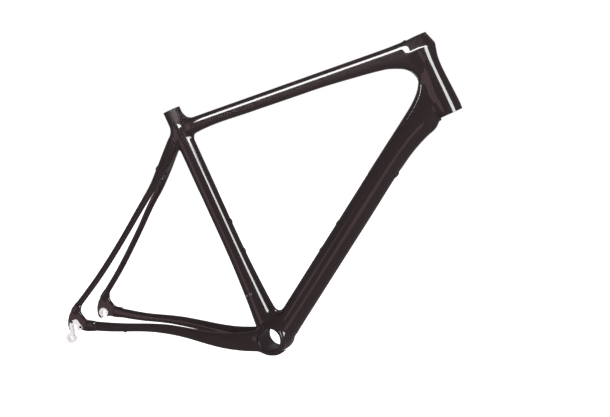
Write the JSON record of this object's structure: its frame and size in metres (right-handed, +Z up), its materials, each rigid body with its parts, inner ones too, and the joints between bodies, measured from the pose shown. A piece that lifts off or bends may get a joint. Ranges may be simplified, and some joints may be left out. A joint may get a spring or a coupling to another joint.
{
  "type": "bicycle frame",
  "caption": "Bare carbon road bicycle frame with a wishbone rear triangle, conical head tube collar, open axle slots and a bolted derailleur hanger.",
  "frame": {"origin": "centre of the bottom-bracket shell, on its axis", "axes": "+X forward, +Y to the rider's left along the bottom-bracket axis, +Z up with the frame in its riding attitude"},
  "size_m": [0.8713, 0.149, 0.5957],
  "materials": {
    "carbon": "lacquered woven carbon, near-black brown, high gloss",
    "alloy": "machined bright",
    "sleeve": "machined and bonded in",
    "steel": "plain zinc-plated screw",
    "black_plastic": "moulded, fine grain"
  },
  "bodies": {
    "root": {"head_tube": "carbon", "top_tube": "carbon", "down_tube": "carbon", "seat_tube": "carbon", "bb_shell": "carbon", "chainstay_left": "carbon", "chainstay_right": "carbon", "wishbone_crown": "carbon", "seatstay_left": "carbon", "seatstay_right": "carbon", "rear_end_left": "carbon", "rear_end_right": "carbon", "dropout_left": "alloy", "dropout_right": "alloy", "derailleur_hanger": "alloy", "hanger_screws": "steel", "upper_headset_sleeve": "sleeve", "lower_headset_seat": "sleeve", "bb_sleeve": "sleeve", "seatpost_sleeve": "sleeve", "cable_cover_plate": "carbon", "cover_plate_rivets": "alloy", "down_tube_bottle_inserts": "steel", "seat_tube_bottle_inserts": "steel", "brake_bolt_sleeve": "sleeve", "bb_cable_guide": "black_plastic", "cable_guide_screw": "steel", "brake_cable_ports": "black_plastic", "gear_cable_port": "black_plastic", "chainstay_cable_port": "black_plastic"}
  },
  "joints": []
}
